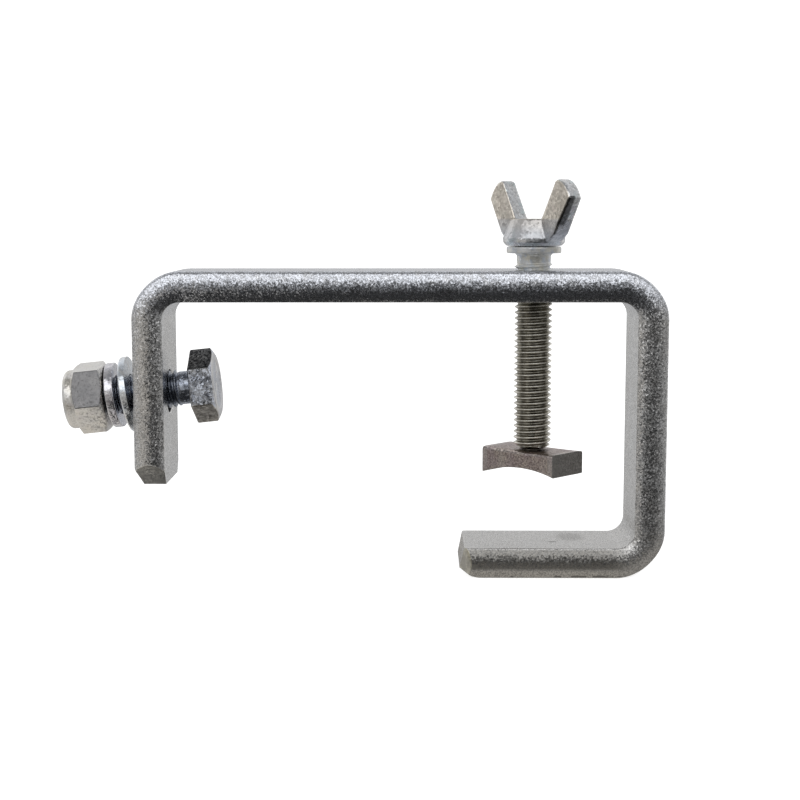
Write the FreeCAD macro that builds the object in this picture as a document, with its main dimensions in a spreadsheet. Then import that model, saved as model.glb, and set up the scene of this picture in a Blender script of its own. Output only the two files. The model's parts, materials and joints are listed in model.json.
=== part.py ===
import FreeCAD, Part
import math
import os
import re
import Sketcher

# Hook clamp for hanging a lamp on a pipe, all sizes in millimetres.
# Frame: origin where the clamp screw's axis meets the clamping face of the jaw, +X from the
# fixing leg towards the jaw's leg, +Z up along the clamp screw, Y across the bar.
# The hook is drawn with its screw part way down and the fixing bolt still loose.

doc = FreeCAD.newDocument("hook_clamp")
V = FreeCAD.Vector
X_DIR = V(1, 0, 0)
Y_DIR = V(0, 1, 0)
Z_DIR = V(0, 0, 1)

SIZES = [
    # the bent flat bar
    ("bar_width", 25, "across the bar, over its bulged edges"),
    ("bar_thickness", 8, "flat bar"),
    ("bar_edge_radius", 7.3, "the rolled narrow edges bow outwards"),
    ("bar_corner_radius", 1.5, "outer corners of the bar; the inner ones are sharp"),
    ("bend_radius", 4.5, "inside radius of the three bends"),
    ("hook_length", 138, "fixing leg to jaw leg, over the outsides"),
    ("hook_height", 80, "top of the beam to the underside of the jaw"),
    ("jaw_length", 53.5, "outside of the jaw leg to the tip of the jaw"),
    ("fixing_leg_height", 55.5, "top of the beam to the end of the fixing leg"),
    ("throat", 26, "clamp screw's axis to the inner face of the jaw leg"),
    ("leg_corner_cut", 5, "45 degree cuts on the corners of the fixing leg"),
    ("jaw_corner_cut", 3.1, "45 degree cuts on the corners of the jaw"),
    ("leg_bevel_depth", 2.2, "bevel on the outside of the leg's end, into the thickness"),
    ("jaw_bevel_depth", 2.8, "bevel on the underside of the jaw's tip, into the thickness"),
    ("end_bevel_run", 4.6, "both bevels, along the bar"),
    ("fixing_hole_diameter", 11.5, "clearance hole for the fixing bolt"),
    ("fixing_hole_drop", 32, "top of the beam to the fixing hole"),
    ("screw_hole_diameter", 10.2, "screw hole in the beam, over the thread's crests"),
    # both M10 threads
    ("thread_pitch", 1.5, "M10 coarse"),
    ("thread_major", 9.9, "over the crests"),
    ("thread_core", 8.2, "at the roots"),
    ("ridge_root", 0.2, "the ridge starts this far inside the core"),
    # the clamp screw, heights from its shoulder on the saddle
    ("shoulder_height", 24.8, "jaw face to the shoulder as drawn"),
    ("screw_thread_length", 48.5, "shoulder to the neck"),
    ("screw_tip_diameter", 5.6, "small end of the tip's cone"),
    ("screw_tip_height", 2.2, "height of the tip's cone"),
    ("neck_diameter", 9, "plain neck under the collar"),
    ("neck_length", 2.8, "thread's end to the collar"),
    ("neck_step", 0.4, "slope between the thread's core and the neck"),
    ("collar_diameter", 14.3, "collar that stops the wing nut"),
    ("collar_thickness", 1.9, "with its chamfer"),
    ("collar_chamfer", 0.3, "chamfer on the collar's top"),
    ("stub_diameter", 7.6, "stub in the wing nut's bore"),
    ("stub_length", 6.8, "collar to the screw's top"),
    ("stub_chamfer", 0.5, "chamfer on the screw's top"),
    ("pin_diameter", 5, "pin through the saddle"),
    ("pin_length", 4.2, "shoulder to the peened end"),
    ("peen_diameter", 6.6, "peened end of the pin"),
    ("peen_height", 0.8, "thickness of the peened end"),
    ("peen_round", 0.5, "the peened end narrows by this to its underside"),
    # the wing nut, heights from the underside of its hub
    ("wing_lift", 0.35, "gap between the collar and the hub"),
    ("hub_diameter", 16.2, "at its widest"),
    ("hub_height", 6.9, "underside to the top face"),
    ("hub_foot_diameter", 14.4, "the hub narrows to its underside"),
    ("hub_foot_height", 0.9, "height of the narrowing under the widest part"),
    ("hub_band_height", 2, "top of the widest part"),
    ("hub_top_diameter", 12, "the hub narrows to its top too"),
    ("hub_bore_diameter", 7.7, "over the screw's stub"),
    ("bore_chamfer", 0.6, "chamfer at the mouths of the nuts' bores"),
    ("wing_thickness", 4.1, "across the wings' flat faces"),
    ("wing_inner_root_reach", 5, "screw's axis to a wing's inner edge at the hub"),
    ("wing_inner_root_height", 5.8, "the same point's height"),
    ("wing_inner_tip_reach", 10.9, "screw's axis to a wing's upper corner"),
    ("wing_inner_tip_height", 16.2, "the same corner's height"),
    ("wing_outer_root_reach", 10.8, "screw's axis to a wing's outer edge at the hub"),
    ("wing_outer_root_height", 2.8, "the same point's height"),
    ("wing_outer_tip_reach", 16.5, "screw's axis to a wing's outer corner"),
    ("wing_outer_tip_height", 12.1, "the same corner's height"),
    ("wing_tip_bow", 1.9, "the tips' arcs bow out by this"),
    ("wing_turn", -56, "degrees about the screw as drawn"),
    # the saddle and the washer that keeps it on the pin
    ("saddle_length", 24, "across the groove"),
    ("saddle_width", 12.5, "along the groove"),
    ("saddle_thickness", 6, "at its ends"),
    ("saddle_groove_radius", 42, "seat for the pipe"),
    ("saddle_gap", 0.1, "play under the screw's shoulder"),
    ("saddle_bore_diameter", 5.3, "over the pin"),
    ("saddle_recess_diameter", 9, "recess for the keeper and the peened end"),
    ("saddle_recess_roof", 2.25, "metal left above the recess"),
    ("saddle_turn", -44, "degrees about the screw as drawn"),
    ("keeper_diameter", 8.4, "washer in the saddle's recess"),
    ("keeper_bore_diameter", 5.2, "over the pin"),
    ("keeper_thickness", 0.8, "between the saddle and the peened end"),
    # the fixing bolt and what is on it
    ("bolt_tilt", 6.1, "degrees, head end up, as drawn"),
    ("bolt_head_reach", 10.3, "middle of the leg to the underside of the head as drawn"),
    ("bolt_length", 30, "M10 x 30, threaded to the head"),
    ("bolt_plain_length", 2, "plain stretch under the head"),
    ("bolt_plain_diameter", 9.2, "the same stretch, at the thread's pitch diameter"),
    ("bolt_plain_step", 0.6, "slope between the plain stretch and the thread's core"),
    ("bolt_tip_cone", 1, "the point's end is smaller than the core by this"),
    ("hex_across_flats", 17, "bolt head and nut"),
    ("hex_face_diameter", 16.1, "circle left flat inside the corners' chamfers"),
    ("hex_chamfer_angle", 32, "degrees off the hexagons' end faces"),
    ("bolt_head_height", 6.4, "M10 hexagon head"),
    ("bolt_head_turn", -3.8, "degrees about the bolt as drawn"),
    ("nut_height", 10.9, "with the collar that holds the insert"),
    ("nut_hex_height", 8, "hexagon only"),
    ("nut_collar_diameter", 15.6, "collar over the insert"),
    ("nut_collar_round", 1.2, "the collar is rolled over at its end"),
    ("nut_bore_diameter", 10.1, "over the bolt's crests"),
    ("nut_turn", -20.8, "degrees about the bolt as drawn"),
    ("nut_reach", 22.75, "underside of the head to the nut as drawn"),
    ("insert_outer_diameter", 13.2, "nylon ring in the nut's collar"),
    ("insert_height", 2.2, "nylon ring along the bolt"),
    ("insert_lip", 0.5, "the collar's lip over the ring"),
    ("insert_play", 0.02, "gap left round the ring"),
    ("lip_bore_diameter", 10.9, "hole in the collar's lip"),
    ("flat_washer_diameter", 20, "M10 plain washer"),
    ("flat_washer_bore", 10.6, "over the bolt"),
    ("flat_washer_thickness", 1.8, "along the bolt"),
    ("flat_washer_lean", 9.8, "degrees off the leg as drawn"),
    ("flat_washer_foot", 29.4, "height of the washer's foot on the leg as drawn"),
    ("spring_washer_diameter", 17.2, "M10 spring washer"),
    ("spring_washer_bore", 10.4, "over the bolt"),
    ("spring_washer_thickness", 2.3, "of the wire it is made from"),
    ("spring_washer_rise", 1.3, "one end of the ring above the other"),
    ("spring_washer_sweep", 350, "degrees of ring, the rest is the slit"),
    ("spring_washer_turn", 105, "degrees about the bolt as drawn"),
    ("play", 0.05, "gap left between pieces that touch"),
    ("cut_margin", 1, "cutting shapes reach this far past the metal"),
]

sheet = doc.addObject("Spreadsheet::Sheet", "Sizes")
for row, (alias, value, note) in enumerate(SIZES, start=1):
    sheet.set(f"A{row}", alias)
    sheet.set(f"B{row}", str(value))
    sheet.set(f"C{row}", note)
    sheet.setAlias(f"B{row}", alias)
doc.recompute()


def size(formula):
    """Value of a formula in the sheet's aliases, for placements and first guesses."""
    value = doc.Sizes.evalExpression(formula)
    return float(getattr(value, "Value", value))


def new_body(name):
    body = doc.addObject("PartDesign::Body", name)
    body.Label = name
    return body


def new_sketch(body, name, plane="XZ_Plane"):
    sketch = body.newObject("Sketcher::SketchObject", name)
    origin_plane = next(item for item in body.Origin.OriginFeatures if item.Role == plane)
    sketch.AttachmentSupport = [(origin_plane, "")]
    sketch.MapMode = "FlatFace"
    return sketch


def formula_on_sheet(formula):
    """The same formula with each alias written as a reference to the sheet."""
    return re.sub(r"\b([a-z]+(_[a-z]+)+|throat|play)\b", r"Sizes.\1", formula)


def bind_point(sketch, geometry, end, across, up):
    """Ties one end of a piece of geometry to formulas for its place in the sketch."""
    for kind, axis, formula in (("DistanceX", -2, across), ("DistanceY", -1, up)):
        value = size(formula)
        if abs(value) < 1e-9:
            sketch.addConstraint(Sketcher.Constraint("PointOnObject", geometry, end, axis))
            continue
        index = sketch.addConstraint(Sketcher.Constraint(kind, -1, 1, geometry, end, value))
        sketch.setExpression(f"Constraints[{index}]", formula_on_sheet(formula))


def sketch_line(sketch, start, end):
    return sketch.addGeometry(Part.LineSegment(
        V(size(start[0]), size(start[1]), 0), V(size(end[0]), size(end[1]), 0)))


def draw_polygon(sketch, corners):
    """Closed outline through corners given as pairs of formulas."""
    points = [V(size(across), size(up), 0) for across, up in corners]
    first = sketch.GeometryCount
    for index, point in enumerate(points):
        sketch.addGeometry(Part.LineSegment(point, points[(index + 1) % len(points)]))
    for index in range(len(points)):
        following = first + (index + 1) % len(points)
        sketch.addConstraint(Sketcher.Constraint("Coincident", first + index, 2, following, 1))
    for index, (across, up) in enumerate(corners):
        bind_point(sketch, first + index, 1, across, up)


def draw_circle(sketch, across, up, diameter):
    centre = V(size(across), size(up), 0)
    geometry = sketch.addGeometry(Part.Circle(centre, Z_DIR, size(diameter) / 2))
    bind_point(sketch, geometry, 3, across, up)
    index = sketch.addConstraint(Sketcher.Constraint("Diameter", geometry, size(diameter)))
    sketch.setExpression(f"Constraints[{index}]", formula_on_sheet(diameter))


def revolve(body, name, corners, cut=False):
    """Turned shape, or turned cut, about the body's Z axis; corners are radius and height."""
    sketch = new_sketch(body, name + "_outline")
    draw_polygon(sketch, corners)
    feature = body.newObject("PartDesign::Groove" if cut else "PartDesign::Revolution", name)
    feature.Profile = sketch
    feature.ReferenceAxis = (sketch, ["V_Axis"])
    feature.Angle = 360
    return feature


def pad(body, name, sketch, length, midplane=False):
    feature = body.newObject("PartDesign::Pad", name)
    feature.Profile = sketch
    feature.setExpression("Length", formula_on_sheet(length))
    feature.Midplane = midplane
    return feature


def cut_through(body, name, sketch):
    """Cut both ways from the sketch through the whole body."""
    feature = body.newObject("PartDesign::Pocket", name)
    feature.Profile = sketch
    feature.Type = "ThroughAll"
    feature.Midplane = True
    return feature


def cut_to(body, name, sketch, length, towards_normal=False):
    """Cut one way from the sketch, against its normal unless told otherwise."""
    feature = body.newObject("PartDesign::Pocket", name)
    feature.Profile = sketch
    feature.Reversed = towards_normal
    feature.setExpression("Length", formula_on_sheet(length))
    return feature


def thread_ridge(body, name, start, height):
    """Helical ridge of the M10 thread: 60 degree flanks and a flat crest an eighth of the
    pitch wide, rooted just inside the core."""
    crest = "(thread_major / 2)"
    foot = "(thread_core / 2 - ridge_root)"
    half_crest = "(thread_pitch / 16)"
    half_foot = f"({half_crest} + ({crest} - {foot}) * tan(30 deg))"
    sketch = new_sketch(body, name + "_outline")
    draw_polygon(sketch, [
        (foot, f"{start} - {half_foot}"), (crest, f"{start} - {half_crest}"),
        (crest, f"{start} + {half_crest}"), (foot, f"{start} + {half_foot}")])
    feature = body.newObject("PartDesign::AdditiveHelix", name)
    feature.Profile = sketch
    feature.ReferenceAxis = (sketch, ["V_Axis"])
    feature.Mode = "pitch-height-angle"
    feature.setExpression("Pitch", "Sizes.thread_pitch")
    feature.setExpression("Height", formula_on_sheet(height))
    return feature


def turned_then_tilted(turn, lean, place):
    """Placement that turns a piece about its own axis, lays the axis along X and lifts its
    +X end by lean degrees."""
    rotation = FreeCAD.Rotation(Y_DIR, 90 - lean).multiply(FreeCAD.Rotation(Z_DIR, turn))
    return FreeCAD.Placement(place, rotation)


def draw_bar_section(sketch):
    """Section of the rolled bar: sketch x across the bar, sketch y away from the hook's inside."""
    radius = size("bar_edge_radius")
    corner = size("bar_corner_radius")
    half_width = size("bar_width") / 2
    half_thickness = size("bar_thickness") / 2
    edge_centre = half_width - radius
    # where the corner's arc meets the flat and the bulged edge
    corner_up = -half_thickness + corner
    corner_across = edge_centre + math.sqrt((radius - corner) ** 2 - corner_up ** 2)
    join_angle = math.atan2(corner_up, corner_across - edge_centre)
    top_angle = math.asin(half_thickness / radius)

    def arc(centre, arc_radius, start, end):
        circle = Part.Circle(V(*centre, 0), Z_DIR, arc_radius)
        return sketch.addGeometry(Part.ArcOfCircle(circle, start, end))

    half_flat = edge_centre + radius * math.cos(top_angle)
    inner = sketch.addGeometry(Part.LineSegment(
        V(half_flat, half_thickness, 0), V(-half_flat, half_thickness, 0)))
    left_edge = arc((-edge_centre, 0), radius, math.pi - top_angle, math.pi - join_angle)
    left_corner = arc((-corner_across, corner_up), corner, math.pi - join_angle, 1.5 * math.pi)
    outer = sketch.addGeometry(Part.LineSegment(
        V(-corner_across, -half_thickness, 0), V(corner_across, -half_thickness, 0)))
    right_corner = arc((corner_across, corner_up), corner, -math.pi / 2, join_angle)
    right_edge = arc((edge_centre, 0), radius, join_angle, top_angle)

    def add(*arguments):
        return sketch.addConstraint(Sketcher.Constraint(*arguments))

    add("Coincident", inner, 2, left_edge, 1)
    add("Tangent", left_edge, 2, left_corner, 1)
    add("Tangent", left_corner, 2, outer, 1)
    add("Tangent", outer, 2, right_corner, 1)
    add("Tangent", right_corner, 2, right_edge, 1)
    add("Coincident", right_edge, 2, inner, 1)
    add("Equal", left_edge, right_edge)
    add("Equal", left_corner, right_corner)
    add("Horizontal", inner)
    add("Symmetric", left_edge, 3, right_edge, 3, -1, 1)
    add("PointOnObject", left_edge, 3, -1)
    for kind, target, value, formula in (
            ("Radius", (right_edge,), radius, "bar_edge_radius"),
            ("Radius", (right_corner,), corner, "bar_corner_radius"),
            ("DistanceY", (-1, 1, inner, 1), half_thickness, "bar_thickness / 2"),
            ("DistanceY", (outer, 1, -1, 1), half_thickness, "bar_thickness / 2"),
            ("DistanceX", (-1, 1, right_edge, 3), edge_centre,
             "bar_width / 2 - bar_edge_radius")):
        index = add(kind, *target, value)
        sketch.setExpression(f"Constraints[{index}]", formula_on_sheet(formula))


def make_hook_frame():
    """One flat bar bent three times: fixing leg, beam, jaw leg and jaw."""
    body = new_body("hook_frame")
    half = "bar_thickness / 2"
    middle_radius = "(bend_radius + bar_thickness / 2)"
    leg_middle = "(throat + bar_thickness / 2)"
    fixing_middle = "(throat + bar_thickness - hook_length + bar_thickness / 2)"
    beam_middle = "(hook_height - bar_thickness - bar_thickness / 2)"
    jaw_tip = "(throat + bar_thickness - jaw_length)"
    leg_end = "(hook_height - bar_thickness - fixing_leg_height)"

    path = new_sketch(body, "bar_route")
    # centre line: straight runs, with an arc about each bend's centre between them
    runs = [
        ((jaw_tip, f"-{half}"), (f"{leg_middle} - {middle_radius}", f"-{half}")),
        ((leg_middle, f"{middle_radius} - {half}"), (leg_middle, f"{beam_middle} - {middle_radius}")),
        ((f"{leg_middle} - {middle_radius}", beam_middle),
         (f"{fixing_middle} + {middle_radius}", beam_middle)),
        ((fixing_middle, f"{beam_middle} - {middle_radius}"), (fixing_middle, leg_end)),
    ]
    bend_centres = [
        (f"{leg_middle} - {middle_radius}", f"{middle_radius} - {half}", -90),
        (f"{leg_middle} - {middle_radius}", f"{beam_middle} - {middle_radius}", 0),
        (f"{fixing_middle} + {middle_radius}", f"{beam_middle} - {middle_radius}", 90),
    ]
    for index, (start, end) in enumerate(runs):
        line = sketch_line(path, start, end)
        bind_point(path, line, 1, *start)
        bind_point(path, line, 2, *end)
        if index < len(bend_centres):
            across, up, from_angle = bend_centres[index]
            circle = Part.Circle(V(size(across), size(up), 0), Z_DIR, size(middle_radius))
            bend = path.addGeometry(Part.ArcOfCircle(
                circle, math.radians(from_angle), math.radians(from_angle + 90)))
            radius = path.addConstraint(Sketcher.Constraint("Radius", bend, size(middle_radius)))
            path.setExpression(f"Constraints[{radius}]", formula_on_sheet(middle_radius))
            path.addConstraint(Sketcher.Constraint("Coincident", line, 2, bend, 1))
    for index in range(len(bend_centres)):
        path.addConstraint(Sketcher.Constraint("Coincident", 2 * index + 1, 2, 2 * index + 2, 1))

    section = new_sketch(body, "bar_section", "YZ_Plane")
    section.setExpression("AttachmentOffset.Base.z", formula_on_sheet(jaw_tip))
    section.setExpression("AttachmentOffset.Base.y", formula_on_sheet(f"-{half}"))
    draw_bar_section(section)
    doc.recompute()
    bar = body.newObject("PartDesign::AdditivePipe", "bent_bar")
    bar.Profile = section
    bar.Spine = (path, [f"Edge{index + 1}" for index in range(2 * len(bend_centres) + 1)])

    # the bevels on the outside of both ends, cut across the bar
    bevels = new_sketch(body, "end_bevels_outline")
    leg_outside = f"({fixing_middle} - {half})"
    draw_polygon(bevels, [
        (f"{leg_outside} - cut_margin", f"{leg_end} + end_bevel_run"),
        (leg_outside, f"{leg_end} + end_bevel_run"),
        (f"{leg_outside} + leg_bevel_depth", leg_end),
        (f"{leg_outside} + leg_bevel_depth", f"{leg_end} - cut_margin"),
        (f"{leg_outside} - cut_margin", f"{leg_end} - cut_margin")])
    draw_polygon(bevels, [
        (f"{jaw_tip} + end_bevel_run", "-bar_thickness - cut_margin"),
        (f"{jaw_tip} + end_bevel_run", "-bar_thickness"),
        (jaw_tip, "-bar_thickness + jaw_bevel_depth"),
        (f"{jaw_tip} - cut_margin", "-bar_thickness + jaw_bevel_depth"),
        (f"{jaw_tip} - cut_margin", "-bar_thickness - cut_margin")])
    cut_through(body, "end_bevels", bevels)

    # corner cuts: on the fixing leg seen along X, on the jaw seen along Z
    leg_corners = new_sketch(body, "leg_corners_outline", "YZ_Plane")
    jaw_corners = new_sketch(body, "jaw_corners_outline", "XY_Plane")
    edge = "bar_width / 2"
    for side in ("", "-"):
        draw_polygon(leg_corners, [
            (f"{side}({edge} - leg_corner_cut)", leg_end),
            (f"{side}({edge})", f"{leg_end} + leg_corner_cut"),
            (f"{side}({edge} + cut_margin)", f"{leg_end} + leg_corner_cut"),
            (f"{side}({edge} + cut_margin)", f"{leg_end} - cut_margin"),
            (f"{side}({edge} - leg_corner_cut)", f"{leg_end} - cut_margin")])
        draw_polygon(jaw_corners, [
            (jaw_tip, f"{side}({edge} - jaw_corner_cut)"),
            (f"{jaw_tip} + jaw_corner_cut", f"{side}({edge})"),
            (f"{jaw_tip} + jaw_corner_cut", f"{side}({edge} + cut_margin)"),
            (f"{jaw_tip} - cut_margin", f"{side}({edge} + cut_margin)"),
            (f"{jaw_tip} - cut_margin", f"{side}({edge} - jaw_corner_cut)")])
    cut_to(body, "leg_corners", leg_corners, "hook_length")
    cut_to(body, "jaw_corners", jaw_corners, "bar_thickness + cut_margin")

    screw_hole = new_sketch(body, "screw_hole_outline", "XY_Plane")
    draw_circle(screw_hole, "0", "0", "screw_hole_diameter")
    cut_to(body, "screw_hole", screw_hole, "hook_height", towards_normal=True)
    fixing_hole = new_sketch(body, "fixing_hole_outline", "YZ_Plane")
    draw_circle(fixing_hole, "0", "hook_height - bar_thickness - fixing_hole_drop",
                "fixing_hole_diameter")
    cut_to(body, "fixing_hole", fixing_hole, "hook_length")
    return body


def make_clamp_spindle():
    """Screw with its collar, neck, M10 thread, pin and peened end, heights from its shoulder."""
    body = new_body("clamp_spindle")
    neck_base = "screw_thread_length"
    collar_base = f"({neck_base} + neck_length)"
    collar_top = f"({collar_base} + collar_thickness)"
    stub_top = f"({collar_top} + stub_length)"
    revolve(body, "screw_core", [
        ("0", "-pin_length"),
        ("peen_diameter / 2 - peen_round", "-pin_length"),
        ("peen_diameter / 2", "-pin_length + peen_height / 2"),
        ("peen_diameter / 2", "-pin_length + peen_height"),
        ("pin_diameter / 2", "-pin_length + peen_height"),
        ("pin_diameter / 2", "0"),
        ("screw_tip_diameter / 2", "0"),
        ("thread_core / 2", "(thread_core - screw_tip_diameter) / 2"),
        ("thread_core / 2", neck_base),
        ("neck_diameter / 2", f"{neck_base} + neck_step"),
        ("neck_diameter / 2", collar_base),
        ("collar_diameter / 2", collar_base),
        ("collar_diameter / 2", f"{collar_top} - collar_chamfer"),
        ("collar_diameter / 2 - collar_chamfer", collar_top),
        ("stub_diameter / 2", collar_top),
        ("stub_diameter / 2", f"{stub_top} - stub_chamfer"),
        ("stub_diameter / 2 - stub_chamfer", stub_top),
        ("0", stub_top)])
    thread_ridge(body, "screw_thread", "thread_pitch / 2", "screw_thread_length - thread_pitch")
    tip = "(screw_tip_diameter / 2 + play)"
    revolve(body, "screw_tip", [
        (tip, "0"),
        ("thread_major / 2 + cut_margin", "screw_tip_height + cut_margin"),
        ("thread_major / 2 + cut_margin", "-cut_margin"),
        (tip, "-cut_margin")], cut=True)
    body.setExpression("Placement.Base.z", "Sizes.shoulder_height")
    return body


def wing_outline(sketch, side):
    """One wing seen square on: straight edges leaning outwards, a bowed tip, and a root
    that ends half way to the hub's axis, outside the bore."""
    corners = [
        ("wing_inner_root_reach", "wing_inner_root_height"),
        ("wing_inner_tip_reach", "wing_inner_tip_height"),
        ("wing_outer_tip_reach", "wing_outer_tip_height"),
        ("wing_outer_root_reach", "wing_outer_root_height"),
        ("hub_diameter / 4", "wing_outer_root_height"),
        ("hub_diameter / 4", "wing_inner_root_height")]
    corners = [(side + across, up) for across, up in corners]
    inner_tip, outer_tip = [V(size(across), size(up), 0) for across, up in corners[1:3]]
    chord = outer_tip - inner_tip
    bow = V(chord.y, -chord.x, 0).normalize() * size("wing_tip_bow")
    if bow.y < 0:
        bow = bow * -1
    first = sketch.GeometryCount
    for index, corner in enumerate(corners):
        following = corners[(index + 1) % len(corners)]
        if index == 1:
            middle = (inner_tip + outer_tip) * 0.5 + bow
            sketch.addGeometry(Part.Arc(inner_tip, middle, outer_tip))
        else:
            sketch_line(sketch, corner, following)
    return first, corners


def make_wing_nut():
    """Forged wing nut, heights from the underside of its hub."""
    body = new_body("wing_nut")
    revolve(body, "hub", [
        ("hub_bore_diameter / 2", "0"),
        ("hub_foot_diameter / 2", "0"),
        ("hub_diameter / 2", "hub_foot_height"),
        ("hub_diameter / 2", "hub_band_height"),
        ("hub_top_diameter / 2", "hub_height"),
        ("hub_bore_diameter / 2 + bore_chamfer", "hub_height"),
        ("hub_bore_diameter / 2", "hub_height - bore_chamfer")])
    for side in ("", "-"):
        name = "left_wing" if side else "right_wing"
        sketch = new_sketch(body, name + "_outline")
        first, corners = wing_outline(sketch, side)
        lines = [index for index in range(len(corners)) if index != 1]
        for index in lines:
            bind_point(sketch, first + index, 1, *corners[index])
            bind_point(sketch, first + index, 2, *corners[(index + 1) % len(corners)])
        pad(body, name, sketch, "wing_thickness", midplane=True)
    height = "shoulder_height + screw_thread_length + neck_length + collar_thickness + wing_lift"
    body.Placement = FreeCAD.Placement(
        V(0, 0, size(height)), FreeCAD.Rotation(Z_DIR, size("wing_turn")))
    return body


def make_saddle():
    """Swivelling pad that bears on the pipe, heights from its underside."""
    body = new_body("saddle")
    profile = new_sketch(body, "saddle_profile")
    half = size("saddle_length / 2")
    thickness = size("saddle_thickness")
    radius = size("saddle_groove_radius")
    points = [V(-half, 0, 0), V(-half, thickness, 0), V(half, thickness, 0), V(half, 0, 0)]
    for start, end in zip(points, points[1:]):
        profile.addGeometry(Part.LineSegment(start, end))
    sagitta = radius - math.sqrt(radius ** 2 - half ** 2)
    profile.addGeometry(Part.Arc(points[3], V(0, sagitta, 0), points[0]))
    corners = [("-saddle_length / 2", "0"), ("-saddle_length / 2", "saddle_thickness"),
               ("saddle_length / 2", "saddle_thickness"), ("saddle_length / 2", "0")]
    for index, corner in enumerate(corners):
        profile.addConstraint(Sketcher.Constraint("Coincident", index, 2, (index + 1) % 4, 1))
        bind_point(profile, index, 1, *corner)
    groove = profile.addConstraint(Sketcher.Constraint("Radius", 3, radius))
    profile.setExpression(f"Constraints[{groove}]", "Sizes.saddle_groove_radius")
    pad(body, "saddle_block", profile, "saddle_width", midplane=True)
    bore = new_sketch(body, "saddle_bore_outline", "XY_Plane")
    draw_circle(bore, "0", "0", "saddle_bore_diameter")
    cut_through(body, "saddle_bore", bore)
    recess = new_sketch(body, "saddle_recess_outline", "XY_Plane")
    draw_circle(recess, "0", "0", "saddle_recess_diameter")
    cut_to(body, "saddle_recess", recess, "saddle_thickness - saddle_recess_roof",
           towards_normal=True)
    body.Placement = FreeCAD.Placement(
        V(0, 0, size("shoulder_height - saddle_gap - saddle_thickness")),
        FreeCAD.Rotation(Z_DIR, size("saddle_turn")))
    return body


def make_washer(name, outer, bore, thickness):
    """Plain ring standing on its own XY plane."""
    body = new_body(name)
    ring = new_sketch(body, name + "_outline", "XY_Plane")
    draw_circle(ring, "0", "0", outer)
    draw_circle(ring, "0", "0", bore)
    pad(body, name + "_ring", ring, thickness)
    return body


def make_saddle_keeper():
    body = make_washer("saddle_keeper", "keeper_diameter", "keeper_bore_diameter",
                       "keeper_thickness")
    body.setExpression("Placement.Base.z", formula_on_sheet(
        "shoulder_height - saddle_gap * 2 - saddle_recess_roof - keeper_thickness"))
    return body


def hexagon(body, name, height):
    """Hexagonal prism with a flat towards +Y and -Y."""
    outline = new_sketch(body, name + "_outline", "XY_Plane")
    corner = "hex_across_flats / sqrt(3)"
    draw_polygon(outline, [(f"{corner} * cos({angle} deg)", f"{corner} * sin({angle} deg)")
                           for angle in range(0, 360, 60)])
    return pad(body, name, outline, height)


def hexagon_chamfer(body, name, end):
    """Cone turned off the hexagon's corners at its far end."""
    face = "hex_face_diameter / 2"
    outside = "(hex_across_flats / sqrt(3) + cut_margin)"
    revolve(body, name, [
        (face, end),
        (outside, f"{end} - ({outside} - {face}) * tan(hex_chamfer_angle * 1 deg)"),
        (outside, f"{end} + cut_margin"),
        (face, f"{end} + cut_margin")], cut=True)


def on_bolt(reach, turn):
    """Placement at a distance along the bolt's axis, from the underside of its head."""
    tilt = math.radians(size("bolt_tilt"))
    middle = V(size("throat + bar_thickness - hook_length + bar_thickness / 2"), 0,
               size("hook_height - bar_thickness - fixing_hole_drop"))
    along = V(math.cos(tilt), 0, math.sin(tilt))
    place = middle + along * (size("bolt_head_reach") - size(reach))
    return turned_then_tilted(size(turn), size("bolt_tilt"), place)


def make_hex_bolt():
    """M10 hexagon bolt, heights from the underside of its head."""
    body = new_body("hex_bolt")
    hexagon(body, "head", "bolt_head_height")
    hexagon_chamfer(body, "head_chamfer", "bolt_head_height")
    revolve(body, "shank", [
        ("0", "-bolt_length"),
        ("thread_core / 2 - bolt_tip_cone / 2", "-bolt_length"),
        ("thread_core / 2", "-bolt_length + bolt_tip_cone / 2"),
        ("thread_core / 2", "-bolt_plain_length - bolt_plain_step"),
        ("bolt_plain_diameter / 2", "-bolt_plain_length"),
        ("bolt_plain_diameter / 2", "bolt_head_height / 2"),
        ("0", "bolt_head_height / 2")])
    thread_ridge(body, "bolt_thread", "-bolt_length + thread_pitch / 2",
                 "bolt_length - bolt_plain_length - thread_pitch")
    tip = "(thread_core / 2 - bolt_tip_cone / 2)"
    outside = "(thread_major / 2 + cut_margin)"
    revolve(body, "bolt_tip", [
        (tip, "-bolt_length"),
        (outside, f"-bolt_length + {outside} - {tip}"),
        (outside, "-bolt_length - cut_margin"),
        (tip, "-bolt_length - cut_margin")], cut=True)
    body.Placement = on_bolt("0", "bolt_head_turn")
    return body


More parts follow.
